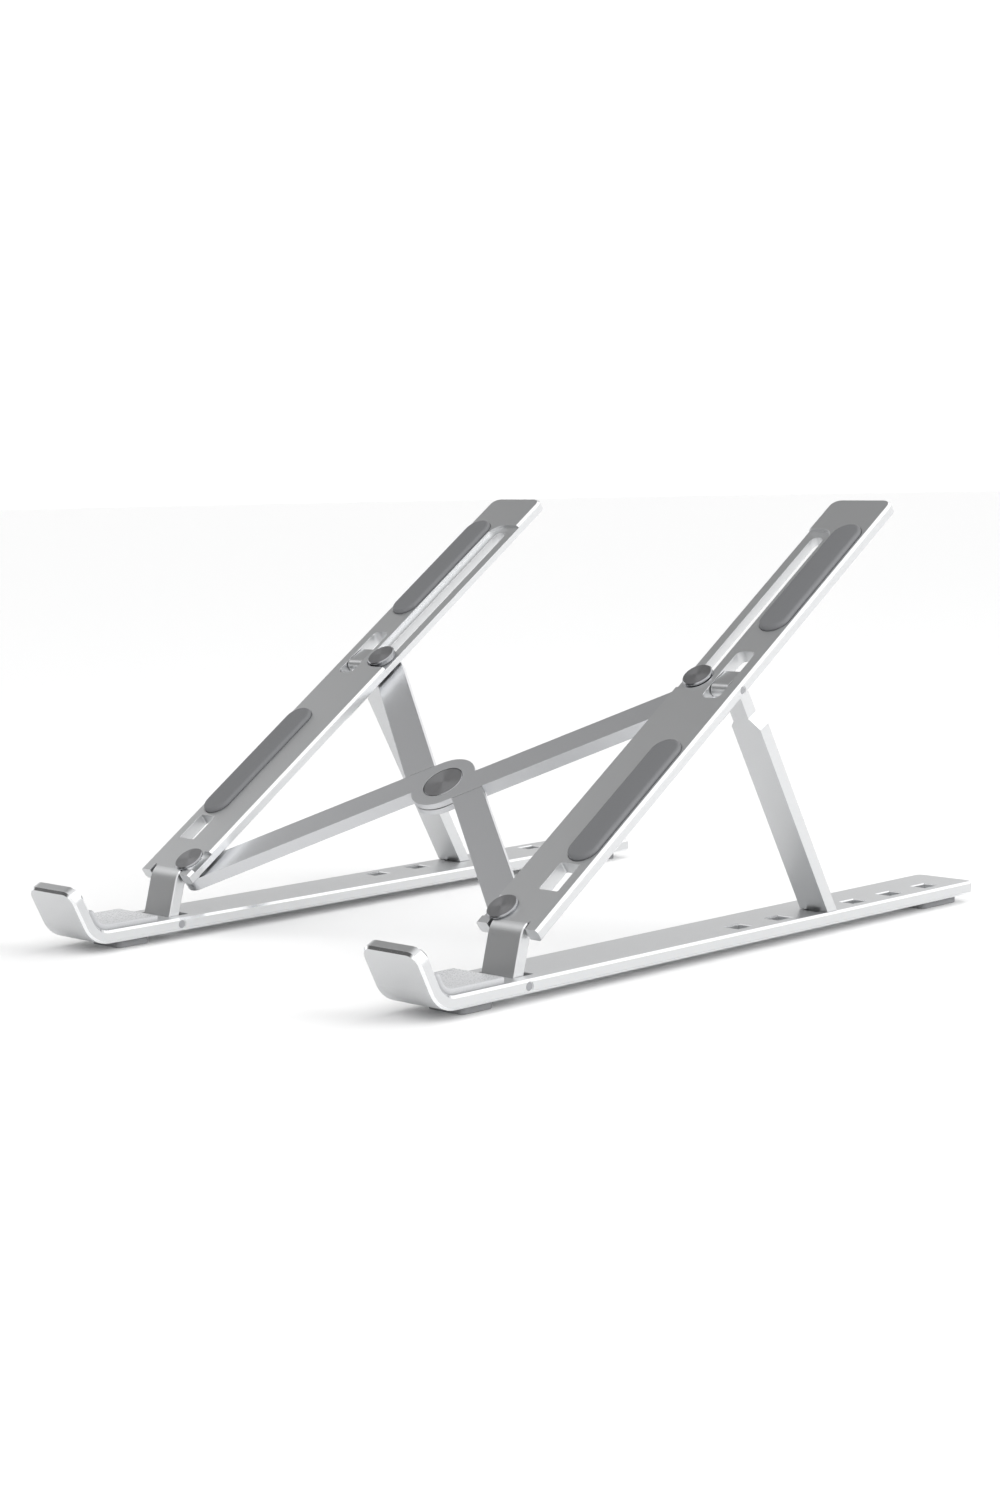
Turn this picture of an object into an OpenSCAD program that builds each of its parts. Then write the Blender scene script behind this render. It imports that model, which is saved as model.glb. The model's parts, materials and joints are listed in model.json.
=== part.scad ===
// Folding scissor laptop stand: two side frames (base bar, top bar, support leg) joined by two
// crossed arms. Millimetres, +Z up, +Y to the rear, hooks at the front. The origin is on the
// desk, midway between the frames and midway between the hooks' front and the bars' rear.

/* [Base bars] */
// Overall length of a base bar, from the hook's front to the rear end
base_l = 248; // [238:1:300]
// Width of a base bar
base_w = 21.6; // [18:0.1:26]
// Thickness of a base bar
base_t = 4; // [3.6:0.1:6]
// Inner radius of the bend into the hook
hook_r = 6; // [4:0.5:8]
// Angle of the hook above the desk
hook_angle = 64; // [50:1:75]
// Height of the hook's front edge above the desk
hook_h = 19.6; // [17:0.1:24]
// Distance from the hook's front to the platform hinge
hinge_back = 42; // [38:0.5:50]
// Depth of the hinge axis under the base bar's top
hinge_depth = 2; // [1.8:0.1:2.4]
// Radius of the platform hinge pin
hinge_pin_r = 1.2; // [1:0.05:1.3]
// Width of the bright cut along the edges
edge_cut = 0.7; // [0.3:0.1:1]
// Radius of the hook's corners, seen from the front
hook_corner_r = 4; // [2:0.5:6]
// Radius of the rear corners
rear_corner_r = 2.5; // [1.5:0.5:5]
// Distance from the platform hinge forward to the hook pad's end
hook_pad_gap = 8.3; // [5:0.1:10]

/* [Height pockets] */
// Number of height pockets
pocket_count = 6; // [3:1:6]
// Distance from the hinge to the first pocket's middle
pocket_first = 95.5; // [90:0.5:100]
// Distance between pockets
pocket_pitch = 18.5; // [12:0.5:19]
// Pocket that the leg stands in, counted from the front
pocket_used = 2; // [0:1:2]
// Width of a pocket
pocket_w = 5.2; // [4.8:0.1:6]
// Length of a pocket
pocket_l = 6.8; // [6.6:0.1:8]
// Depth of a pocket
pocket_d = 2.2; // [1.9:0.1:2.6]

/* [Top bars] */
// Distance from the arm pivot to the tip
top_l = 187.5; // [184:0.5:200]
// Width of a top bar
top_w = 23; // [21:0.5:26]
// Thickness of a top bar
top_t = 3.8; // [3.6:0.1:5]
// How far the hinge lies in front of the arm pivot, along the top bar
hinge_fore = 16.5; // [15:0.5:18]
// How far the hinge lies under the top bar's upper face
hinge_drop = 11; // [10.6:0.1:13]
// Width of the tongue that drops into the base bar
tongue_w = 12.5; // [9:0.5:14]
// Angle between the tongue and the top bar
tongue_bend = 40; // [35:1:45]
// Radius of the tip's corners
tip_r = 3.6; // [2:0.2:5]
// Depth of the shelf that the sliding disc runs on
shelf_d = 1.1; // [0.8:0.1:1.4]
// Distance from the arm pivot to the leg's pin
leg_pin_s = 98; // [94:0.5:102]

/* [Scissor] */
// Distance between the middles of the two side frames, opened
frame_gap = 146; // [120:1:156]
// Distance from a frame's middle to the arm pivots, towards the other frame
pivot_in = 6; // [5.5:0.1:7]
// Distance along the top bar between the arm pivot and the sliding pin, opened
slide_open = 100.4; // [96:0.2:104]
// Gap left between the top bars when the stand is closed
closed_gap = 0.5; // [0.4:0.1:2]
// Width of an arm
arm_w = 9.6; // [8:0.2:10.4]
// Thickness of an arm
arm_t = 4; // [3.6:0.1:4.2]
// Radius of the steel discs at the arm ends
disc_r = 4.7; // [4:0.1:5.2]
// Height of the steel discs above the top bar
disc_up = 0.9; // [0.6:0.1:1.2]
// Radius of the pins at the arm ends
pin_r = 2; // [1.6:0.1:2.2]
// Radius of the disc at the hub
hub_disc_r = 6.35; // [5:0.05:7]
// Radius of the hub's shaft
hub_pin_r = 3; // [2.4:0.1:3.4]

/* [Support legs] */
// Length of a leg from its pin to its foot
leg_l = 84; // [80:0.5:88]
// Width of a leg
leg_w = 10.4; // [8:0.2:11]
// Thickness of a leg
leg_t = 4; // [3.4:0.1:4.2]
// Middle of the leg pockets and windows, outwards from the bar's middle
leg_out = 4.2; // [3.8:0.1:4.4]
// Width of the leg's neck, in the top bar's window
neck_w = 6; // [5:0.1:6.4]
// Length of the leg's neck
neck_l = 14; // [12:0.5:18]
// How far the foot's tab reaches into a pocket
tab_d = 1.5; // [1.2:0.1:1.7]
// Width of the foot's tab
tab_w = 4.6; // [3.6:0.1:4.6]

/* [Silicone and rubber] */
// Length of a platform pad
pad_l = 51; // [30:1:51]
// Width of a platform pad
pad_w = 10; // [6:0.2:10.4]
// Height of a platform pad above the top bar
pad_up = 1.5; // [0.8:0.1:3]
// Middle of the platform pads, outwards from the bar's middle
pad_out = 4.9; // [4:0.1:5]
// Distance from the arm pivot to the lower pad
lower_pad_s = 21; // [21:0.5:24]
// Distance from the arm pivot to the upper pad
upper_pad_s = 122.5; // [118:0.5:126]
// Thickness of the hook pad
hook_pad_t = 1.8; // [1:0.1:3]
// How far the hook pad runs up the hook, past the bend
hook_pad_rise = 3; // [2.6:0.2:10]
// Height of the rubber feet under the base bar
foot_up = 2.8; // [1.2:0.1:4]
// Width of the rubber feet
foot_w = 14; // [8:0.5:17]

/* [Hidden] */
$fn = 64;

play = 0.3;             // room between pieces that pass each other
bend_step = 0.01;       // how much finer a bend's section is, all round, than the bar's
bend_lap = 0.2;         // how far a bend runs into the straight parts at its ends
running = 0.05;         // radial clearance of a pin in the piece that turns on it
film = 0.05;            // gap on each face of a washer
over = 1;               // how far a cutting shape runs past what it cuts
fine_cut = 0.3;         // bright cut along the arms, legs and openings
bed_d = 0.4;            // depth of the beds that the platform pads sit in
pin_sink = 0.3;         // how far the pins' ends lie inside the bars' sides
pin_ring = 0.25;        // width of the ring around a pin's end

// Places of the base bar
base_z = foot_up;
base_top = base_z + base_t;
front_y = -base_l / 2;
rear_y = base_l / 2;
hinge_y = front_y + hinge_back;
hinge_z = base_top - hinge_depth;
slot_front = top_t / 2 + 3 * running;   // flat wall that stops the upright tongue
slot_rear = 6;                          // lets the tongue lie down to its bend angle
slot_w = tongue_w + 2 * play;
hook_pad_w = base_w - 2;

// The hook's plate runs up and forward from the bend
bend_out_r = hook_r + base_t;
hook_rise = (hook_h - base_z) / sin(hook_angle);
hook_foot_y = front_y + hook_rise * cos(hook_angle);
bend_tangent = bend_out_r * tan(hook_angle / 2);
bend_y = hook_foot_y + bend_tangent;
hook_l = hook_rise - bend_tangent;

// Feet: the front one reaches under the bend
front_foot_y = [bend_y + 6, bend_y + 18];
rear_foot_y = [rear_y - 22, rear_y - 4];
foot_corner_r = 2;

// The platform leans on the leg: hinge, leg pin and foot are the corners of a triangle
knuckle_r = 2.1;        // half the height of the leg's eye, flush with the top bar
leg_pin_n = -knuckle_r; // height of the leg pin's axis, under the top bar's upper face
leg_pin_r = 1;
leg_off = 2.2;          // from the leg pin's axis to the leg's front face
foot_bias = 0.9;        // the leg stands this far behind the pocket's middle
leg_mid = leg_off + leg_t / 2;
hp_s = hinge_fore + leg_pin_s;
hp_n = hinge_drop + leg_pin_n;
hp = sqrt(hp_s * hp_s + hp_n * hp_n);
pf = sqrt(leg_l * leg_l + leg_mid * leg_mid);
foot_y = pocket_first + pocket_used * pocket_pitch + foot_bias;
foot_z = base_top - tab_d - hinge_z;
hf = sqrt(foot_y * foot_y + foot_z * foot_z);
hp_angle = acos((hp * hp + hf * hf - pf * pf) / (2 * hp * hf)) + atan2(foot_z, foot_y);
tilt = hp_angle - atan2(hp_n, hp_s);
leg_line = atan2(hp * sin(hp_angle) - foot_z, foot_y - hp * cos(hp_angle));
lean = 90 - leg_line - atan2(leg_mid, leg_l);

// The leg is cut level just above the base bar, and its tab goes on down
sole_gap = 0.1;
sole_z = base_top + sole_gap;
sole_y = hinge_y + foot_y - (tab_d + sole_gap) * tan(lean);
sole_half = leg_t / 2 / cos(lean);
tab_l = 2.8;
body_shift = 0.8;       // the leg's body lies this far outside its neck

// Places on the top bar: s runs up the bar from the arm pivot, n is above its upper face
window_w = neck_w + 2 * play;
window_s = [leg_pin_s - 6.5, leg_pin_s + 14.8];
window_r = 2;
finger_hole_o = [0.7, 7.6];
finger_hole_s = [8.8, 19.8];
slot_r = pin_r + play;
shelf_r = disc_r + 0.4;
rebate_w = 2.9;
rebate_s = [-3.8, 4.6];
ear_s = -6.3;
bend_in_r = 2.5;
bend_mid_r = bend_in_r + top_t / 2;
tongue_rise = hinge_drop - top_t / 2;
bend_s = tongue_rise / tan(tongue_bend) - hinge_fore + bend_mid_r * tan(tongue_bend / 2);
tongue_l = tongue_rise / sin(tongue_bend) - bend_mid_r * tan(tongue_bend / 2);
relief = 0.9;           // width of the notches beside the tongue
leg_pin_in = 1.5;       // how far the leg pin reaches into the bar behind the window

// Scissor geometry, in the plane of the arms, with the hub at the origin
half_x = frame_gap / 2 - pivot_in;
half_s = slide_open / 2;
arm_reach = sqrt(half_x * half_x + half_s * half_s);
arm_off = (top_w + closed_gap) / 2 - pivot_in;
arm_run = sqrt(arm_reach * arm_reach - arm_off * arm_off);
arm_swing = atan2(arm_run, arm_off) - atan2(half_s, half_x);
slide_closed = 2 * arm_run;
boss_r = arm_off + arm_w / 2;
washer_gap = 0.5;
washer_r = 3.8;
arm_top = -top_t - washer_gap;
arm_low = arm_top - arm_t;
lap_gap = 0.3;
lap_play = 0.25;
lap_t = (arm_t - lap_gap) / 2;
rivet_foot_r = 3.2;
rivet_foot_t = 0.9;
hub_head_t = 0.9;
hub_ring = 0.2;         // width of the dark ring around the hub's disc

// ---- Frames of reference ----

// Right-hand side as drawn, left-hand side mirrored; x = 0 is then the bar's middle
module side(name) {
    if (name == "left") mirror([1, 0, 0]) translate([frame_gap / 2, 0, 0]) children();
    else translate([frame_gap / 2, 0, 0]) children();
}

// Tilted frame of the top bars: x across, y up the bar, z above its upper face
module on_tilt() {
    translate([0, hinge_y, hinge_z]) rotate([tilt, 0, 0])
        translate([0, hinge_fore, hinge_drop]) children();
}

// Frame of the leg: y from the pin to the foot, z from the front face to the rear face
module on_leg() {
    on_tilt() translate([leg_out, leg_pin_s, leg_pin_n]) rotate([-tilt, 0, 0])
        rotate([lean - 90, 0, 0]) children();
}

// Frame of the scissor: the hub at the origin, y up the top bars
module on_hub() {
    on_tilt() translate([0, half_s, 0]) children();
}

// ---- Shapes that several pieces share ----

// Rectangle w by t with its corners cut, standing on its middle
module cut_section(w, t, c) {
    polygon([[-w / 2 + c, 0], [w / 2 - c, 0], [w / 2, c], [w / 2, t - c], [w / 2 - c, t],
             [-w / 2 + c, t], [-w / 2, t - c], [-w / 2, c]]);
}

// Disc with cut rims, from z = 0 up
module cut_disc(r, t, c) {
    rotate_extrude() polygon([[0, 0], [r - c, 0], [r, c], [r, t - c], [r - c, t], [0, t]]);
}

// Plain disc from height z0 to height z1
module disc(r, z0, z1) {
    translate([0, 0, z0]) cylinder(r = r, h = z1 - z0);
}

// Block between two corners
module block(low, high) {
    translate(low) cube(high - low);
}

// Rectangle between two corners with rounded corners
module round_rect(low, high, r) {
    translate([low.x + r, low.y]) square([high.x - low.x - 2 * r, high.y - low.y]);
    translate([low.x, low.y + r]) square([high.x - low.x, high.y - low.y - 2 * r]);
    for (x = [low.x + r, high.x - r], y = [low.y + r, high.y - r]) translate([x, y]) circle(r);
}

// Round bar along X from x0 to x1
module cross_pin(r, x0, x1) {
    translate([x0, 0, 0]) rotate([0, 90, 0]) cylinder(r = r, h = x1 - x0);
}

// Bar with cut edges along +Y to l, z = 0 to t, with two rounded corners at its far end
module end_bar(l, w, t, c, r) {
    translate([0, l - r, 0]) rotate([90, 0, 0]) linear_extrude(l - r) cut_section(w, t, c);
    translate([r - w / 2, 0, 0]) rotate([90, 0, 90]) linear_extrude(w - 2 * r)
        polygon([[l - 2 * r, 0], [l - c, 0], [l, c], [l, t - c], [l - c, t], [l - 2 * r, t]]);
    for (x = [r - w / 2, w / 2 - r]) translate([x, l - r, 0]) cut_disc(r, t, c);
}

// Flat bar's bend by an angle about the X axis, from straight down towards the front
module bend(angle, r, w, t, c) {
    lap = bend_lap / r * 180 / PI;
    rotate([90, 0, 90]) rotate([0, 0, -90 - angle - lap]) rotate_extrude(angle = angle + 2 * lap)
        translate([r + bend_step, 0]) rotate(-90)
            cut_section(w - 2 * bend_step, t - 2 * bend_step, c);
}

// Strip along the base bar's axis: flat to y1, bent up with inner radius r, then up the hook
module hook_strip(y1, low, r, w, t, c, rise, end_r, tip_corner) {
    translate([0, bend_y, low]) end_bar(y1 - bend_y, w, t, c, end_r);
    translate([0, bend_y, base_top + hook_r]) {
        bend(hook_angle, r, w, t, c);
        rotate([-hook_angle, 0, 0]) translate([0, 0, -r - t]) mirror([0, 1, 0])
            end_bar(rise, w, t, c, tip_corner);
    }
}

// ---- Side frames, drawn for the right-hand side ----

module base_bar() {
    color("Gainsboro") difference() {
        hook_strip(rear_y, base_z, hook_r, base_w, base_t, edge_cut, hook_l, rear_corner_r,
                   hook_corner_r);
        block([-slot_w / 2, hinge_y - slot_front, base_z - over],
              [slot_w / 2, hinge_y + slot_rear, base_top + over]);
        for (i = [0 : pocket_count - 1])
            translate([leg_out, hinge_y + pocket_first + i * pocket_pitch, base_top]) pocket();
        translate([0, hinge_y, hinge_z]) {
            cross_pin(hinge_pin_r, -base_w, base_w);
            for (m = [0, 1]) mirror([m, 0, 0])
                cross_pin(hinge_pin_r + pin_ring, base_w / 2 - pin_sink, base_w);
        }
    }
}

// Pocket for the leg's tab, with bevelled edges
module pocket() {
    block([-pocket_w / 2, -pocket_l / 2, -pocket_d], [pocket_w / 2, pocket_l / 2, over]);
    intersection() {
        rotate([90, 0, 0]) translate([0, 0, -pocket_l]) linear_extrude(2 * pocket_l)
            bevel(pocket_w / 2);
        rotate([90, 0, 90]) translate([0, 0, -pocket_w]) linear_extrude(2 * pocket_w)
            bevel(pocket_l / 2);
    }
}

module bevel(half) {
    polygon([[-half, -fine_cut], [half, -fine_cut], [half + fine_cut + over, over],
             [-half - fine_cut - over, over]]);
}

module hook_pad() {
    color("DarkGray") hook_strip(hinge_y - hook_pad_gap, base_top, hook_r - hook_pad_t,
        hook_pad_w, hook_pad_t, fine_cut / 2, hook_pad_rise, 0.6, 1.2);
}

module front_foot() {
    color("DimGray") linear_extrude(base_z)
        round_rect([-foot_w / 2, front_foot_y[0]], [foot_w / 2, front_foot_y[1]], foot_corner_r);
}

module rear_foot() {
    color("DimGray") linear_extrude(base_z)
        round_rect([-foot_w / 2, rear_foot_y[0]], [foot_w / 2, rear_foot_y[1]], foot_corner_r);
}

module hinge_pin() {
    color("Gray") translate([0, hinge_y, hinge_z])
        cross_pin(hinge_pin_r, pin_sink - base_w / 2, base_w / 2 - pin_sink);
}

module top_bar() {
    color("Silver") on_tilt() difference() {
        union() {
            difference() {
                translate([0, ear_s, -top_t]) end_bar(top_l - ear_s, top_w, top_t, edge_cut, tip_r);
                tongue_notch();
            }
            tongue();
        }
        shelf();
        block([-top_w / 2 - over, rebate_s[0], -shelf_d],
              [rebate_w - top_w / 2, rebate_s[1], over]);
        translate([-pivot_in, 0, 0]) disc(pin_r, -top_t - over, over);
        translate([0, 0, -top_t - over]) linear_extrude(top_t + 2 * over) {
            round_rect([leg_out - window_w / 2, window_s[0]], [leg_out + window_w / 2, window_s[1]],
                       window_r);
            round_rect([finger_hole_o[0], finger_hole_s[0]], [finger_hole_o[1], finger_hole_s[1]],
                       0.5);
        }
        for (s = [lower_pad_s, upper_pad_s])
            pad_outline(s, pad_w / 2 + play / 2) disc(pad_w / 2 + play / 2, -bed_d, over);
        translate([0, leg_pin_s, leg_pin_n]) {
            cross_pin(leg_pin_r, leg_out - window_w / 2 - leg_pin_in, top_w);
            cross_pin(leg_pin_r + pin_ring, top_w / 2 - pin_sink, top_w);
        }
    }
}

// Shelf for the sliding disc, open to the inner edge, with the pin's slot in it
module shelf() {
    block([-top_w / 2 - over, slide_open - shelf_r, -shelf_d],
          [-pivot_in, slide_closed + shelf_r, over]);
    block([-pivot_in - over, slide_open, -shelf_d], [shelf_r - pivot_in, slide_closed, over]);
    for (s = [slide_open, slide_closed]) translate([-pivot_in, s, 0]) {
        disc(shelf_r, -shelf_d, over);
        disc(slot_r, -top_t - over, over);
    }
    block([-pivot_in - slot_r, slide_open, -top_t - over], [slot_r - pivot_in, slide_closed, over]);
}

// Room beside the tongue: the bar's lower corners stay as ears
module tongue_notch() {
    notch_s = bend_s + play;
    block([-tongue_w / 2 - relief, ear_s - over, -top_t - over],
          [tongue_w / 2 + relief, bend_s, over]);
    for (m = [0, 1]) mirror([m, 0, 0]) translate([tongue_w / 2 + relief / 2, notch_s, 0])
        disc(relief / 2, -top_t - over, over);
}

// Tongue, bent down from the bar and rolled round its pin
module tongue() {
    translate([0, bend_s, -top_t]) {
        translate([0, over, 0]) rotate([90, 0, 0]) linear_extrude(over)
            cut_section(tongue_w, top_t, fine_cut);
        translate([0, 0, -bend_in_r]) {
            rotate([180 + tongue_bend, 0, 0])
                bend(tongue_bend, bend_in_r, tongue_w, top_t, fine_cut);
            rotate([tongue_bend, 0, 0]) translate([0, 0, bend_in_r]) difference() {
                union() {
                    rotate([90, 0, 0]) linear_extrude(tongue_l)
                        cut_section(tongue_w, top_t, fine_cut);
                    translate([0, -tongue_l, top_t / 2])
                        cross_pin(top_t / 2, -tongue_w / 2, tongue_w / 2);
                }
                translate([0, -tongue_l, top_t / 2])
                    cross_pin(hinge_pin_r + running, -tongue_w, tongue_w);
            }
        }
    }
}

// Joins two copies of a round shape into a pad's long outline
module pad_outline(s, r) {
    translate([pad_out, s + pad_w / 2, 0]) children();
    translate([pad_out, s + pad_l - pad_w / 2, 0]) children();
    block([pad_out - r, s + pad_w / 2, -bed_d], [pad_out + r, s + pad_l - pad_w / 2, over]);
}

// Silicone pad with a rounded upper rim
module platform_pad(s) {
    round_r = min(1.1, pad_up);
    run = pad_l - pad_w;
    color("Gray") on_tilt() translate([pad_out, s + pad_w / 2, -bed_d]) {
        for (y = [0, run]) translate([0, y, 0]) rotate_extrude() intersection() {
            pad_section(round_r);
            square([pad_w, 2 * pad_w]);
        }
        translate([0, run, 0]) rotate([90, 0, 0]) linear_extrude(run) pad_section(round_r);
    }
}

module pad_section(r) {
    h = bed_d + pad_up;
    translate([-pad_w / 2, 0]) square([pad_w, h - r]);
    translate([r - pad_w / 2, 0]) square([pad_w - 2 * r, h]);
    intersection() {
        for (x = [r - pad_w / 2, pad_w / 2 - r]) translate([x, h - r]) circle(r);
        translate([-pad_w / 2, h - r]) square([pad_w, r]);
    }
}

module pivot_rivet() {
    color("DimGray") on_tilt() translate([-pivot_in, 0, 0]) {
        cut_disc(disc_r, disc_up, fine_cut);
        disc(pin_r, arm_low - film - rivet_foot_t, disc_up / 2);
        disc(rivet_foot_r, arm_low - film - rivet_foot_t, arm_low - film);
    }
}

module pivot_washer() {
    color("LightGray") on_tilt() translate([-pivot_in, 0, 0]) washer();
}

module washer() {
    difference() {
        disc(washer_r, arm_top + film, -top_t - film);
        disc(pin_r + running, arm_top - over, -top_t + over);
    }
}

module slide_pin() {
    color("DimGray") on_tilt() translate([-pivot_in, slide_open, 0]) {
        translate([0, 0, film - shelf_d]) cut_disc(disc_r, disc_up + shelf_d - film, fine_cut);
        disc(pin_r, arm_low - rivet_foot_t, 0);
        disc(rivet_foot_r, arm_low - rivet_foot_t, arm_low);
    }
}

module slide_washer() {
    color("LightGray") on_tilt() translate([-pivot_in, slide_open, 0]) washer();
}

module leg_pin() {
    color("Gray") on_tilt() translate([0, leg_pin_s, leg_pin_n])
        cross_pin(leg_pin_r, leg_out - window_w / 2 - leg_pin_in, top_w / 2 - pin_sink);
}

module support_leg() {
    color("Gainsboro") {
        difference() {
            on_leg() difference() {
                union() {
                    translate([0, 0, leg_off]) linear_extrude(leg_t) leg_outline();
                    block([-neck_w / 2, -knuckle_r, 0], [neck_w / 2, knuckle_r, leg_mid]);
                    cross_pin(knuckle_r, -neck_w / 2, neck_w / 2);
                }
                cross_pin(leg_pin_r + running, -leg_w, leg_w);
            }
            block([-top_w, sole_y - leg_l, sole_z - leg_l], [top_w, sole_y + leg_l, sole_z]);
        }
        block([leg_out - tab_w / 2, sole_y + sole_half - tab_l, base_top - tab_d],
              [leg_out + tab_w / 2, sole_y + sole_half, sole_z + over / 2]);
    }
}

// Leg seen from the front: narrow neck, then a wider body
module leg_outline() {
    near = body_shift - leg_w / 2;
    far = body_shift + leg_w / 2;
    polygon([[-neck_w / 2, -knuckle_r], [neck_w / 2, -knuckle_r], [neck_w / 2, neck_l - 2.4],
             [far, neck_l + 1.2], [far, leg_l + leg_w], [near, leg_l + leg_w],
             [near, neck_l + 0.6], [-neck_w / 2, neck_l - 1.2]]);
}

// ---- Arms and hub ----

// Outline of an arm, folded: an S whose halves lie beside each other's
module arm_outline(grow) {
    circle(boss_r + grow);
    for (a = [0, 180]) rotate(a) {
        translate([arm_off - arm_w / 2 - grow, 0]) square([arm_w + 2 * grow, arm_run]);
        translate([arm_off, arm_run]) circle(arm_w / 2 + grow);
    }
}

// Whole arm from height z0 to height z1, its lower end on the left
module arm_slab(grow, z0, z1) {
    translate([0, 0, z0]) rotate(-arm_swing) linear_extrude(z1 - z0) arm_outline(grow);
}

// Where the other arm and its boss pass through the lap
module lap_room(z0, z1) {
    mirror([1, 0, 0]) arm_slab(lap_play, z0, z1);
    disc(boss_r + play, z0, z1);
}

// Bores at an arm's lower end, which turns on its rivet, and its upper end, which holds its pin
module arm_bores() {
    translate([-half_x, -half_s, 0]) disc(pin_r + running, arm_low - over, arm_top + over);
    translate([half_x, half_s, 0]) disc(pin_r, arm_low - over, arm_top + over);
    disc(hub_pin_r + running, arm_low - over, arm_top + over);
}

module upper_arm() {
    color("DarkGray") on_hub() difference() {
        arm_slab(0, arm_low, arm_top);
        lap_room(arm_low - over, arm_top - lap_t);
        arm_bores();
        disc(hub_disc_r + hub_ring, arm_top - hub_head_t, arm_top + over);
    }
}

module lower_arm() {
    color("DarkGray") on_hub() mirror([1, 0, 0]) difference() {
        arm_slab(0, arm_low, arm_top);
        lap_room(arm_low + lap_t, arm_top + over);
        arm_bores();
        disc(hub_disc_r + hub_ring, arm_low - over, arm_low + hub_head_t);
    }
}

module hub_rivet() {
    color("DimGray") on_hub() {
        translate([0, 0, arm_top - hub_head_t]) cut_disc(hub_disc_r, hub_head_t, fine_cut / 2);
        disc(hub_pin_r, arm_low, arm_top - hub_head_t / 2);
    }
}

module hub_washer() {
    mid = (arm_top + arm_low) / 2;
    color("LightGray") on_hub() difference() {
        disc(hub_disc_r, mid - lap_gap / 2 + film, mid + lap_gap / 2 - film);
        disc(hub_pin_r + running, mid - over, mid + over);
    }
}

module hub_cap() {
    color("DimGray") on_hub() difference() {
        disc(hub_disc_r, arm_low, arm_low + hub_head_t - film);
        disc(hub_pin_r, arm_low - over, arm_top);
    }
}

side("left") base_bar();  // left_base_bar
side("left") hook_pad();  // left_hook_pad
side("left") front_foot();  // left_front_foot
side("left") rear_foot();  // left_rear_foot
side("left") hinge_pin();  // left_hinge_pin
side("left") top_bar();  // left_top_bar
side("left") platform_pad(lower_pad_s);  // left_lower_pad
side("left") platform_pad(upper_pad_s);  // left_upper_pad
side("left") pivot_rivet();  // left_pivot_rivet
side("left") pivot_washer();  // left_pivot_washer
side("left") leg_pin();  // left_leg_pin
side("left") support_leg();  // left_support_leg
side("left") slide_pin();  // left_slide_pin
side("left") slide_washer();  // left_slide_washer
side("right") base_bar();  // right_base_bar
side("right") hook_pad();  // right_hook_pad
side("right") front_foot();  // right_front_foot
side("right") rear_foot();  // right_rear_foot
side("right") hinge_pin();  // right_hinge_pin
side("right") top_bar();  // right_top_bar
side("right") platform_pad(lower_pad_s);  // right_lower_pad
side("right") platform_pad(upper_pad_s);  // right_upper_pad
side("right") pivot_rivet();  // right_pivot_rivet
side("right") pivot_washer();  // right_pivot_washer
side("right") leg_pin();  // right_leg_pin
side("right") support_leg();  // right_support_leg
side("right") slide_pin();  // right_slide_pin
side("right") slide_washer();  // right_slide_washer
upper_arm();
lower_arm();
hub_rivet();
hub_washer();
hub_cap();
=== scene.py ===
"""Folding laptop stand of bead-blasted aluminium: finishes, moulded parts, camera and studio."""
import json
import math
import bmesh
import bpy
from mathutils import Matrix, Vector


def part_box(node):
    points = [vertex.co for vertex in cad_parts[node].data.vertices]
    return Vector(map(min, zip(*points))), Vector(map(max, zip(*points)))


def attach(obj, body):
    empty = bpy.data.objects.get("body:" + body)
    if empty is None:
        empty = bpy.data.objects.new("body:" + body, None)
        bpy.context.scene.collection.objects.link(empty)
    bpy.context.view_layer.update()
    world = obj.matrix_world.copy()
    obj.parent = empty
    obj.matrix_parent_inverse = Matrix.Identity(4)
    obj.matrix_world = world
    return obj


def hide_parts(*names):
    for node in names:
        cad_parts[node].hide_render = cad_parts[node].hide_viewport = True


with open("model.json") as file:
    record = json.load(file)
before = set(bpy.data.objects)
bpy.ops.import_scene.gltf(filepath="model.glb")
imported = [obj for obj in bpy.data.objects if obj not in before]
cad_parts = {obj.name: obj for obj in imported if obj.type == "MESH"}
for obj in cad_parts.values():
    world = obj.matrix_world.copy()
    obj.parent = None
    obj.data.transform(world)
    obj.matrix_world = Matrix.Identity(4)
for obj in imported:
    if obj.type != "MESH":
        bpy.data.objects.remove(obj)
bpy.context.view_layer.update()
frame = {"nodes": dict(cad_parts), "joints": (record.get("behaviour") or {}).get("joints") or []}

MM = 0.001
X = Vector((1, 0, 0))
Z = Vector((0, 0, 1))
SIDES = ("left", "right")
JOINTS = {joint["name"]: joint for joint in frame["joints"]}

# The top bars lean on their legs: PLATE is square to their faces, UP runs up along them
PLATE = Vector(JOINTS["left_arm_pivot"]["axis"]).normalized()
UP = PLATE.cross(X)

# Base bar and hook, as they are bent
HOOK_ANGLE = math.radians(64)
HOOK_INSIDE = 6 * MM
HOOK_FACE = Vector((0, -math.sin(HOOK_ANGLE), -math.cos(HOOK_ANGLE)))
BEND_REACH = 9 * MM
FOOT_BEHIND_BEND = 6 * MM


def span(node, axis):
    """Lowest and highest place of a CAD node along an axis."""
    places = [vertex.co.dot(axis) for vertex in frame["nodes"][node].data.vertices]
    return min(places), max(places)


# ---- Finishes ----

def hexcode(code):
    """Linear colour of an sRGB hex value."""
    parts = [int(code[i:i + 2], 16) / 255 for i in (1, 3, 5)]
    return tuple(c / 12.92 if c <= 0.04045 else ((c + 0.055) / 1.055) ** 2.4 for c in parts) + (1,)


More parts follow.
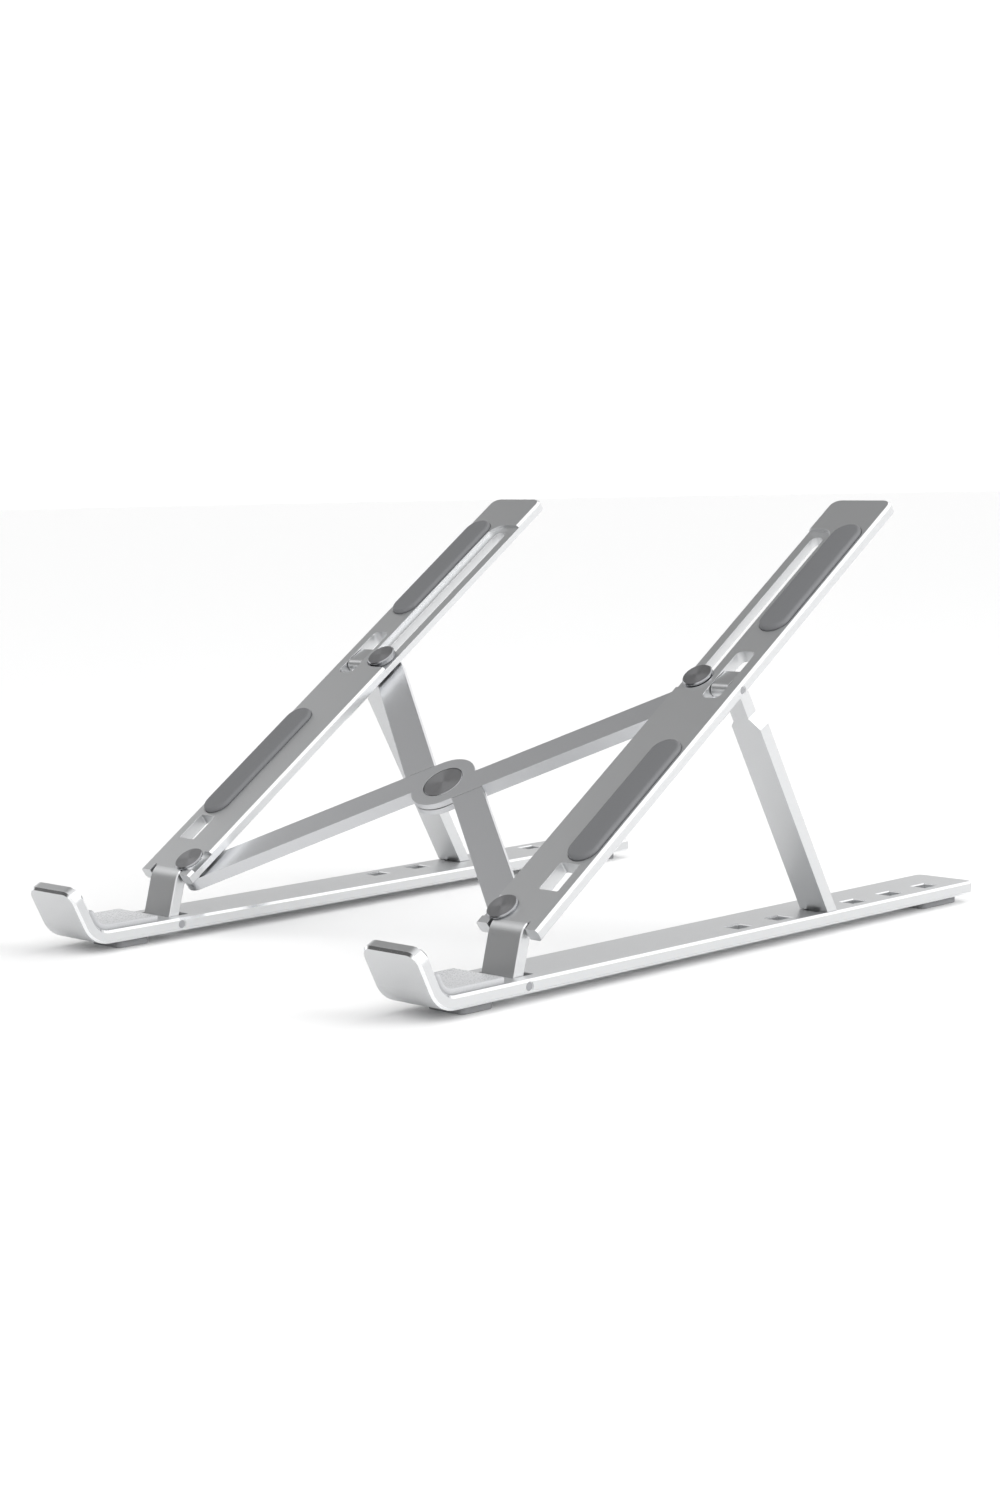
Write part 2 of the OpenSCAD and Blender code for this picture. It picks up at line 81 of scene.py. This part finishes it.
def add(tree, kind, settings=None, **inputs):
    """Adds a node with its settings, and its inputs as values or as sockets to link from."""
    node = tree.nodes.new(kind)
    for name, value in (settings or {}).items():
        setattr(node, name, value)
    for name, value in inputs.items():
        socket = node.inputs[int(name[1:])] if name[0] == "_" else node.inputs[name.replace("_", " ")]
        if isinstance(value, bpy.types.NodeSocket):
            tree.links.new(value, socket)
        else:
            socket.default_value = value
    return node


def finish(name, **surface):
    """New material with its shader's own sockets set; returns material, tree and shader."""
    material = bpy.data.materials.new(name)
    material.use_nodes = True
    tree = material.node_tree
    shader = tree.nodes["Principled BSDF"]
    for key, value in surface.items():
        shader.inputs[key.replace("_", " ")].default_value = value
    return material, tree, shader


def grain(tree, shader, size_mm, low, high, depth_mm, bevel_mm=0.0):
    """Grain of a given size: it varies the roughness from low to high and dents the surface."""
    place = add(tree, "ShaderNodeTexCoord")
    noise = add(tree, "ShaderNodeTexNoise", Vector=place.outputs["Object"],
                Scale=1 / (size_mm * MM), Detail=2.0, Roughness=0.6)
    rough = add(tree, "ShaderNodeMapRange", Value=noise.outputs["Fac"],
                To_Min=low, To_Max=high, From_Min=0.3, From_Max=0.7)
    bump = add(tree, "ShaderNodeBump", Height=noise.outputs["Fac"], Distance=depth_mm * MM,
               Strength=1.0)
    if bevel_mm:
        edge = add(tree, "ShaderNodeBevel", {"samples": 4}, Radius=bevel_mm * MM)
        tree.links.new(edge.outputs["Normal"], bump.inputs["Normal"])
    tree.links.new(rough.outputs["Result"], shader.inputs["Roughness"])
    tree.links.new(bump.outputs["Normal"], shader.inputs["Normal"])


# 6063 aluminium, bead-blasted and clear anodised: an even silver frost with a soft wide gleam.
# Real bead marks are 0.05 mm; 0.3 mm is the finest that shows.
def blasted_aluminium(name, colour):
    material, tree, shader = finish(name, Base_Color=hexcode(colour), Metallic=1.0)
    grain(tree, shader, 0.3, 0.34, 0.44, 0.006, bevel_mm=0.2)
    return material


# The same aluminium cut by a diamond tool after anodising: a bright, nearly mirror-like band
def diamond_cut():
    material, tree, shader = finish("diamond_cut_aluminium", Base_Color=hexcode("#F2F3F4"),
                                    Metallic=1.0)
    grain(tree, shader, 0.6, 0.10, 0.16, 0.0008)
    return material


# Stainless steel turned on a lathe: rings too fine to see draw the gleam out into a bow tie.
# Real rings are 0.05 mm apart; 0.35 mm is the finest that shows.
def turned_steel(name, centre):
    material, tree, shader = finish(name, Base_Color=hexcode("#98989A"), Metallic=1.0,
                                    Anisotropic=0.9)
    place = add(tree, "ShaderNodeTexCoord")
    arm = add(tree, "ShaderNodeVectorMath", {"operation": "SUBTRACT"},
              _0=place.outputs["Object"], _1=centre)
    turned = add(tree, "ShaderNodeVectorTransform",
                 {"vector_type": "VECTOR", "convert_from": "OBJECT", "convert_to": "WORLD"},
                 Vector=arm.outputs["Vector"])
    unit = add(tree, "ShaderNodeVectorMath", {"operation": "NORMALIZE"},
               _0=turned.outputs["Vector"])
    tree.links.new(unit.outputs["Vector"], shader.inputs["Tangent"])
    radius = add(tree, "ShaderNodeVectorMath", {"operation": "LENGTH"}, _0=arm.outputs["Vector"])
    wave = add(tree, "ShaderNodeMath", {"operation": "SINE"},
               _0=add(tree, "ShaderNodeMath", {"operation": "MULTIPLY"},
                      _0=radius.outputs["Value"], _1=math.tau / (0.35 * MM)).outputs["Value"])
    streak = add(tree, "ShaderNodeTexNoise", {"noise_dimensions": "1D"},
                 W=radius.outputs["Value"], Scale=1 / (0.5 * MM), Detail=3.0)
    rough = add(tree, "ShaderNodeMapRange", Value=streak.outputs["Fac"],
                To_Min=0.28, To_Max=0.42, From_Min=0.3, From_Max=0.7)
    bump = add(tree, "ShaderNodeBump", Height=wave.outputs["Value"], Distance=0.002 * MM,
               Strength=1.0)
    tree.links.new(rough.outputs["Result"], shader.inputs["Roughness"])
    tree.links.new(bump.outputs["Normal"], shader.inputs["Normal"])
    return material


# Steel polished on the rims and ground on the pins: hard dark and bright reflections
def polished_steel():
    material, tree, shader = finish("polished_steel", Base_Color=hexcode("#A4A5A8"), Metallic=1.0)
    grain(tree, shader, 0.8, 0.14, 0.22, 0.001)
    return material


# Silicone rubber, moulded: matt, with the faint tooth of a spark-eroded mould, 0.3 mm coarse
def silicone(name, colour, low, high):
    material, tree, shader = finish(name, Base_Color=hexcode(colour), IOR=1.41)
    grain(tree, shader, 0.35, low, high, 0.008)
    return material


# Rubber of the feet: matt and a little dusty
def foot_rubber():
    material, tree, shader = finish("moulded_rubber", Base_Color=hexcode("#8C8D8F"), IOR=1.52)
    grain(tree, shader, 0.5, 0.62, 0.78, 0.015)
    return material


ALUMINIUM = blasted_aluminium("bead_blasted_aluminium", "#D4D5D6")
ARM_ALUMINIUM = blasted_aluminium("bead_blasted_arm_aluminium", "#D0D1D3")
CUT = diamond_cut()
POLISHED = polished_steel()
PAD = silicone("grey_silicone", "#727375", 0.50, 0.62)
HOOK_PAD = silicone("pale_grey_silicone", "#B9BABC", 0.24, 0.34)
RUBBER = foot_rubber()


def paint(node, *materials, choose=None):
    """Gives a CAD node its finishes; choose picks one by a face's normal and middle."""
    mesh = frame["nodes"][node].data
    mesh.materials.clear()
    for material in materials:
        mesh.materials.append(material)
    for face in mesh.polygons:
        face.material_index = choose(face.normal, face.center) if choose else 0


def slanting(normal, axis):
    """True where a face leans halfway from an axis, as a cut edge does."""
    return abs(abs(normal.dot(axis)) - math.sqrt(0.5)) < 0.03


def base_edges(bend_y):
    """Picks the cut edges of a base bar, whose plate turns up into the hook at bend_y."""
    def choose(normal, middle):
        across = HOOK_FACE if middle.y < bend_y - BEND_REACH else Z
        inside_bend = bend_y - BEND_REACH <= middle.y <= bend_y
        return int(slanting(normal, X) or (not inside_bend and slanting(normal, across)))
    return choose


def disc_face(normal, middle):
    """Turned face on top of a disc, polished rim and shaft elsewhere."""
    return 0 if normal.dot(PLATE) > 0.98 else 1


# ---- Moulded parts ----

def plain_mesh(name, points, faces, material):
    """New object of points in the row frame, its faces shaded smooth."""
    mesh = bpy.data.meshes.new(name)
    mesh.from_pydata(points, [], faces)
    mesh.materials.append(material)
    piece = bpy.data.objects.new(name, mesh)
    bpy.context.collection.objects.link(piece)
    for face in mesh.polygons:
        face.use_smooth = True
    return piece


def corner(distance, radius):
    """How far a rounded corner stands back, at a distance from the end."""
    left = max(radius - distance, 0.0)
    return radius - math.sqrt(max(radius * radius - left * left, 0.0))


def moulded_strip(name, route, middle_x, width, start_r, end_r, rim, material):
    """Strip along a route of (place, normal, thickness), with rounded corners and upper rims."""
    run = [0.0]
    for before, after in zip(route, route[1:]):
        run.append(run[-1] + (after[0] - before[0]).length)
    points = []
    steps = 6
    for (place, normal, thick), here in zip(route, run):
        ends = (here, start_r), (run[-1] - here, end_r)
        half = width / 2 - max(corner(distance, radius) for distance, radius in ends)
        high = thick - max(corner(distance, rim) for distance, radius in ends)
        ring = [(-half, 0.0), (-half, high - rim)]
        for i in range(1, steps + 1):
            turn = math.pi / 2 * i / steps
            ring.append((-half + rim * (1 - math.cos(turn)), high - rim * (1 - math.sin(turn))))
        ring += [(-x, h) for x, h in reversed(ring)]
        points += [place + X * (middle_x + x) + normal * h for x, h in ring]
    count = 2 * (steps + 2)
    faces = []
    for k in range(len(route) - 1):
        for i in range(count):
            j = (i + 1) % count
            faces.append((k * count + i, k * count + j, (k + 1) * count + j, (k + 1) * count + i))
    faces.append(tuple(range(count))[::-1])
    faces.append(tuple((len(route) - 1) * count + i for i in range(count)))
    piece = plain_mesh(name, points, faces, material)
    recalculate(piece)
    return piece


def recalculate(piece):
    """Turns a closed mesh's faces outwards."""
    made = bmesh.new()
    made.from_mesh(piece.data)
    bmesh.ops.recalc_face_normals(made, faces=made.faces)
    made.to_mesh(piece.data)
    made.free()


def near_ends(start, stop, corner_r):
    """Places from start to stop, close together at both ends, where the corners are rounded."""
    steps = [corner_r * (1 - math.cos(math.pi / 2 * i / 8)) for i in range(9)]
    sign = 1 if stop > start else -1
    return [start + sign * d for d in steps] + [stop - sign * d for d in reversed(steps)]


def hook_pad(side):
    """L-shaped pad on the front of the base bar, round its bend and up the hook's foot."""
    node = f"{side}_hook_pad"
    low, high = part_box(node)
    base_top, thick, tip_r = low.z, 1.8 * MM, 1.2 * MM
    rise = Vector((0, -math.cos(HOOK_ANGLE), math.sin(HOOK_ANGLE)))
    axis = Vector((0, bend_y, base_top + HOOK_INSIDE))
    hook_end = (high.z - axis.z + (HOOK_INSIDE - thick) * math.cos(HOOK_ANGLE)) / rise.z
    flat = [(Vector((0, y, base_top)), Z, thick) for y in near_ends(high.y, bend_y, 0.8 * MM)]
    turns = [HOOK_ANGLE * i / 16 for i in range(1, 16)]
    bend = [(axis + HOOK_INSIDE * Vector((0, -math.sin(a), -math.cos(a))),
             Vector((0, math.sin(a), math.cos(a))), thick) for a in turns]
    plate = [(axis + HOOK_INSIDE * HOOK_FACE + rise * d, -HOOK_FACE, thick)
             for d in near_ends(0.0, hook_end, tip_r)]
    piece = moulded_strip(f"{side}_hook_lining", flat + bend + plate, (low.x + high.x) / 2,
                          high.x - low.x, 0.8 * MM, tip_r, 0.45 * MM, HOOK_PAD)
    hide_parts(node)
    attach(piece, f"{side}_base")


def foot(side, end):
    """Rubber foot under a base bar."""
    node = f"{side}_{end}_foot"
    low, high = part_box(node)
    thick = high.z - low.z
    route = [(Vector((0, y, high.z)), -Z, thick) for y in near_ends(high.y, low.y, 2 * MM)]
    piece = moulded_strip(f"{side}_{end}_rubber", route, (low.x + high.x) / 2, high.x - low.x,
                          2 * MM, 2 * MM, 0.4 * MM, RUBBER)
    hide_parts(node)
    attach(piece, f"{side}_base")


def pad_tree():
    """Geometry Nodes: long pad with round ends, a rounded rim and a slightly crowned top.

    A grid is wrapped round the outline: its X counts turns about it, its Y the steps from the
    underside's middle over the rim to the top's middle."""
    tree = bpy.data.node_groups.new("silicone_pad", "GeometryNodeTree")
    face = tree.interface
    sizes = {}
    for label, size in (("Length", 51 * MM), ("Width", 10 * MM), ("Height", 1.9 * MM),
                        ("Rim radius", 1.1 * MM), ("Crown", 0.1 * MM)):
        socket = face.new_socket(label, in_out="INPUT", socket_type="NodeSocketFloat")
        socket.default_value = size
        sizes[label] = socket.identifier
    finish_in = face.new_socket("Material", in_out="INPUT", socket_type="NodeSocketMaterial")
    sizes["Material"] = finish_in.identifier
    face.new_socket("Geometry", in_out="OUTPUT", socket_type="NodeSocketGeometry")
    given = tree.nodes.new("NodeGroupInput")

    def maths(operation, first, second=0.0, clamp=False):
        made = add(tree, "ShaderNodeMath", {"operation": operation, "use_clamp": clamp},
                   _0=first, _1=second)
        return made.outputs["Value"]

    around, steps = 96, 24
    grid = add(tree, "GeometryNodeMeshGrid", Size_X=1.0, Size_Y=1.0,
               Vertices_X=around + 1, Vertices_Y=steps + 1)
    spot = add(tree, "ShaderNodeSeparateXYZ",
               Vector=add(tree, "GeometryNodeInputPosition").outputs["Position"])
    turn = maths("MULTIPLY", maths("ADD", spot.outputs["X"], 0.5), math.tau)
    step = maths("ADD", spot.outputs["Y"], 0.5)
    radius = maths("MULTIPLY", given.outputs["Width"], 0.5)
    rim = given.outputs["Rim radius"]
    # the profile in thirds: underside outwards, up and round the rim, then the top inwards
    under = maths("MULTIPLY", step, 6.0, clamp=True)
    over_rim = maths("MULTIPLY", maths("SUBTRACT", step, 1 / 6), 2.0, clamp=True)
    across = maths("MULTIPLY", maths("SUBTRACT", step, 4 / 6), 3.0, clamp=True)
    bow = maths("MULTIPLY", over_rim, math.pi / 2)
    inset = maths("MULTIPLY", rim, maths("SUBTRACT", 1.0, maths("COSINE", bow)))
    kept = maths("SUBTRACT", maths("MULTIPLY", radius, under), inset)
    reach = maths("MULTIPLY", kept, maths("SUBTRACT", 1.0, across))
    wall = maths("SUBTRACT", given.outputs["Height"], rim)
    wall_part = maths("MULTIPLY", maths("SUBTRACT", step, 1 / 6), 24.0, clamp=True)
    low_wall = maths("MULTIPLY", wall, wall_part)
    rounded = maths("MULTIPLY", rim, maths("SINE", bow))
    swell = maths("SUBTRACT", 1.0, maths("POWER", maths("SUBTRACT", 1.0, across), 2.0))
    crown = maths("MULTIPLY", given.outputs["Crown"], swell)
    lowered = maths("SUBTRACT", maths("ADD", low_wall, rounded), given.outputs["Crown"])
    height = maths("ADD", lowered, crown)
    floor_up = maths("MAXIMUM", height, 0.0)
    half_run = maths("SUBTRACT", maths("MULTIPLY", given.outputs["Length"], 0.5), radius)
    sine = maths("SINE", turn)
    upper = maths("SUBTRACT", maths("MULTIPLY", maths("GREATER_THAN", sine, 0.001), 2.0), 1.0)
    along = maths("ADD", maths("MULTIPLY", upper, half_run), maths("MULTIPLY", reach, sine))
    sideways = maths("MULTIPLY", reach, maths("COSINE", turn))
    place = add(tree, "ShaderNodeCombineXYZ", X=sideways, Y=along, Z=floor_up)
    wrapped = add(tree, "GeometryNodeSetPosition", Geometry=grid.outputs["Mesh"],
                  Position=place.outputs["Vector"])
    merged = add(tree, "GeometryNodeMergeByDistance", Geometry=wrapped.outputs["Geometry"],
                 Distance=0.001 * MM)
    smooth = add(tree, "GeometryNodeSetShadeSmooth", Geometry=merged.outputs["Geometry"])
    real = add(tree, "GeometryNodeRealizeInstances", Geometry=smooth.outputs["Geometry"])
    coated = add(tree, "GeometryNodeSetMaterial", Geometry=real.outputs["Geometry"],
                 Material=given.outputs["Material"])
    out = tree.nodes.new("NodeGroupOutput")
    tree.links.new(coated.outputs["Geometry"], out.inputs["Geometry"])
    return tree, sizes


def platform_pad(side, level, tree, sizes):
    """Silicone pad on a top bar, laid in the place of its CAD solid."""
    node = f"{side}_{level}_pad"
    mesh = bpy.data.meshes.new("blank")
    blank = bpy.data.objects.new("blank", mesh)
    bpy.context.collection.objects.link(blank)
    modifier = blank.modifiers.new("pad", "NODES")
    modifier.node_group = tree
    spans = [span(node, axis) for axis in (X, UP, PLATE)]
    values = {"Length": spans[1][1] - spans[1][0], "Width": spans[0][1] - spans[0][0],
              "Height": spans[2][1] - spans[2][0], "Material": PAD}
    for label, value in values.items():
        modifier[sizes[label]] = value
    graph = bpy.context.evaluated_depsgraph_get()
    made = bpy.data.meshes.new_from_object(blank.evaluated_get(graph))
    blank.modifiers.remove(modifier)
    bpy.data.objects.remove(blank)
    middle = X * sum(spans[0]) / 2 + UP * sum(spans[1]) / 2 + PLATE * spans[2][0]
    turn = Matrix((X, UP, PLATE)).transposed().to_4x4()
    made.transform(Matrix.Translation(middle) @ turn)
    piece = bpy.data.objects.new(f"{side}_{level}_silicone", made)
    bpy.context.collection.objects.link(piece)
    recalculate(piece)
    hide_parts(node)
    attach(piece, f"{side}_platform")


# ---- The stand ----

bend_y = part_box("right_front_foot")[0].y - FOOT_BEHIND_BEND

for side in SIDES:
    paint(f"{side}_base_bar", ALUMINIUM, CUT, choose=base_edges(bend_y))
    paint(f"{side}_top_bar", ALUMINIUM, CUT, choose=lambda normal, middle: int(
        slanting(normal, PLATE)))
    paint(f"{side}_support_leg", ALUMINIUM)
    for pin in ("hinge_pin", "leg_pin", "pivot_washer", "slide_washer"):
        paint(f"{side}_{pin}", POLISHED)
    hook_pad(side)
    for end in ("front", "rear"):
        foot(side, end)

for arm in ("upper_arm", "lower_arm"):
    paint(arm, ARM_ALUMINIUM)
for part in ("hub_washer", "hub_cap"):
    paint(part, POLISHED)

DISCS = ["hub_rivet"] + [f"{side}_{disc}" for side in SIDES for disc in ("pivot_rivet", "slide_pin")]
for disc in DISCS:
    middle = sum((axis * sum(span(disc, axis)) / 2 for axis in (X, UP, PLATE)), Vector())
    paint(disc, turned_steel(f"turned_steel_{disc}", middle), POLISHED, choose=disc_face)

pad_nodes, pad_sizes = pad_tree()
for side in SIDES:
    for level in ("lower", "upper"):
        platform_pad(side, level, pad_nodes, pad_sizes)


# ---- Studio ----

def soft_box(name, place, aim, width, height, power):
    """Soft white area light at a place, aimed at another."""
    light = bpy.data.lights.new(name, "AREA")
    light.shape = "RECTANGLE"
    light.size, light.size_y, light.energy = width, height, power
    lamp = bpy.data.objects.new(name, light)
    lamp.location = place
    lamp.rotation_euler = (Vector(aim) - Vector(place)).to_track_quat("-Z", "Y").to_euler()
    bpy.context.collection.objects.link(lamp)


def studio_floor(radius):
    """Pale round floor."""
    made = bmesh.new()
    bmesh.ops.create_circle(made, cap_ends=True, segments=96, radius=radius)
    mesh = bpy.data.meshes.new("studio_floor")
    made.to_mesh(mesh)
    made.free()
    material, tree, shader = finish("matt_white_paper", Base_Color=hexcode("#FDFDFD"),
                                    Roughness=0.9)
    mesh.materials.append(material)
    floor = bpy.data.objects.new("studio_floor", mesh)
    bpy.context.collection.objects.link(floor)


def studio_world(strength, flags):
    """White surround with soft grey flags: (direction, shade, inner and outer angle).

    A flag shades its own part of the surround, so it darkens only the faces that mirror it."""
    world = bpy.data.worlds.new("studio")
    world.use_nodes = True
    tree = world.node_tree
    shade = tree.nodes["Background"]
    view = add(tree, "ShaderNodeTexCoord")
    light = strength
    for direction, grey, inner, outer in flags:
        facing = add(tree, "ShaderNodeVectorMath", {"operation": "DOT_PRODUCT"},
                     _0=view.outputs["Generated"], _1=Vector(direction).normalized())
        reach = add(tree, "ShaderNodeMapRange", {"interpolation_type": "SMOOTHSTEP"},
                    Value=facing.outputs["Value"], To_Min=1.0, To_Max=grey,
                    From_Min=math.cos(math.radians(outer)), From_Max=math.cos(math.radians(inner)))
        light = add(tree, "ShaderNodeMath", {"operation": "MULTIPLY"},
                    _0=light, _1=reach.outputs["Result"]).outputs["Value"]
    shade.inputs["Color"].default_value = hexcode("#FFFFFF")
    tree.links.new(light, shade.inputs["Strength"])
    bpy.context.scene.world = world


def camera():
    """Long lens from the front right, a little above the stand."""
    turn, rise, roll = (math.radians(a) for a in (45.465, 6.978, -1.11))
    aim = Vector((-27.6, -2.0, 46.9)) * MM
    far = 845.1 * MM
    data = bpy.data.cameras.new("camera")
    data.sensor_fit = "HORIZONTAL"
    data.sensor_width = 36
    data.lens = 96.7824
    data.shift_x, data.shift_y = 0.0535, 0.0195
    data.clip_start, data.clip_end = 0.02, 50
    back = Vector((math.sin(turn) * math.cos(rise), -math.cos(turn) * math.cos(rise),
                   math.sin(rise)))
    right = Vector((math.cos(turn), math.sin(turn), 0))
    up = back.cross(right)
    axes = Matrix((right * math.cos(roll) + up * math.sin(roll),
                   up * math.cos(roll) - right * math.sin(roll), back)).transposed()
    shot = bpy.data.objects.new("camera", data)
    shot.matrix_world = Matrix.Translation(aim + back * far) @ axes.to_4x4()
    bpy.context.collection.objects.link(shot)
    bpy.context.scene.camera = shot


bpy.context.scene.view_settings.view_transform = "Standard"
studio_floor(6.0)
studio_world(1.24, [((-0.55, 0.25, 0.80), 0.24, 12, 34), ((-0.55, -0.80, 0.20), 0.10, 18, 42),
                    ((-0.62, 0.62, 0.62), 0.50, 12, 28)])
soft_box("right_box", (0.95, 0.30, 0.60), (0, 0, 0.06), 0.7, 0.7, 4)
camera()
